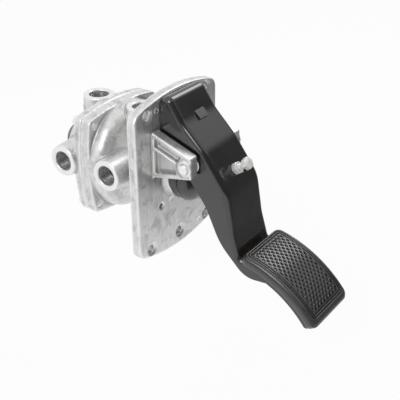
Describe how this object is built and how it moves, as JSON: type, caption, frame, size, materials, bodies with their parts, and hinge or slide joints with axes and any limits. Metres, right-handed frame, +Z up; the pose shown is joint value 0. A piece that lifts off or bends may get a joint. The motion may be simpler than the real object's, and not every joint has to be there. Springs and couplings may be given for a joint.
{
  "type": "foot brake valve",
  "caption": "Dual-circuit air brake valve on a cast mounting plate, worked by a hanging pedal with a rubber tread pad.",
  "frame": {"origin": "on the valve axis, at the mounting face of the plate, in the middle of its four corner holes", "axes": "X to the driver's right, Y from the pedal towards the valve along its axis, Z up"},
  "size_m": [0.1284, 0.3173, 0.1952],
  "materials": {
    "cast_aluminium": "as sand cast, with machined port and joint faces",
    "black_paint": "glossy stoved paint",
    "black_rubber": "moulded, satin",
    "zinc_steel": "bright zinc plated",
    "turned_aluminium": "turned",
    "brass": "turned",
    "black_plastic": "moulded"
  },
  "bodies": {
    "valve": {"mounting_plate": "cast_aluminium", "upper_body": "cast_aluminium", "lower_body": "cast_aluminium", "plunger_boot": "black_rubber", "graduating_spring": "black_rubber", "exhaust_flap": "black_rubber", "pivot_pin": "zinc_steel", "thrust_washers": "zinc_steel", "flange_screws": "zinc_steel", "plate_screws": "zinc_steel", "piston_spring": "zinc_steel", "relay_spring": "zinc_steel", "primary_valve_spring": "zinc_steel", "secondary_valve_spring": "zinc_steel", "primary_valve_retainer": "turned_aluminium", "secondary_valve_retainer": "turned_aluminium", "plunger_guide": "brass", "exhaust_silencer": "black_plastic"},
    "pedal": {"pedal_arm": "black_paint", "pedal_pad": "black_rubber", "pivot_bushes": "brass", "adjusting_screw": "zinc_steel", "lock_nut": "zinc_steel"},
    "plunger": {"plunger": "zinc_steel", "plunger_cap": "zinc_steel", "spring_seat": "zinc_steel"},
    "primary_piston": {"primary_piston": "turned_aluminium", "primary_piston_seal": "black_rubber"},
    "primary_valve": {"primary_valve": "brass"},
    "relay_piston": {"relay_piston": "turned_aluminium", "relay_piston_seal": "black_rubber"},
    "secondary_valve": {"secondary_valve": "brass"}
  },
  "joints": [
    {"name": "pedal_pivot", "type": "hinge", "parent": "valve", "child": "pedal", "pos_m": [0, -0.0478, 0.027], "axis": [1, 0, 0], "range_deg": [0, 20], "stiffness_Nm_per_rad": 20, "springref_deg": -3.44},
    {"name": "plunger_slide", "type": "slide", "parent": "valve", "child": "plunger", "axis": [0, 1, 0], "range_m": [0, 0.00954], "deforming": ["plunger_boot", "graduating_spring"]},
    {"name": "primary_piston_slide", "type": "slide", "parent": "valve", "child": "primary_piston", "axis": [0, 1, 0], "range_m": [0, 0.00301], "deforming": ["piston_spring"]},
    {"name": "primary_valve_slide", "type": "slide", "parent": "valve", "child": "primary_valve", "axis": [0, 1, 0], "range_m": [0, 0.00181], "deforming": ["primary_valve_spring"]},
    {"name": "relay_piston_slide", "type": "slide", "parent": "valve", "child": "relay_piston", "axis": [0, 1, 0], "range_m": [0, 0.00241], "deforming": ["relay_spring"]},
    {"name": "secondary_valve_slide", "type": "slide", "parent": "valve", "child": "secondary_valve", "axis": [0, 1, 0], "range_m": [0, 0.00141], "deforming": ["secondary_valve_spring"]}
  ],
  "couplings": [
    {"joint": "plunger_slide", "follows": "pedal_pivot", "m_per_rad": 0.0273},
    {"joint": "primary_piston_slide", "follows": "pedal_pivot", "m_per_rad": 0.0085944},
    {"joint": "primary_valve_slide", "follows": "pedal_pivot", "m_per_rad": 0.0051566},
    {"joint": "relay_piston_slide", "follows": "pedal_pivot", "m_per_rad": 0.0068755},
    {"joint": "secondary_valve_slide", "follows": "pedal_pivot", "m_per_rad": 0.0040107}
  ]
}
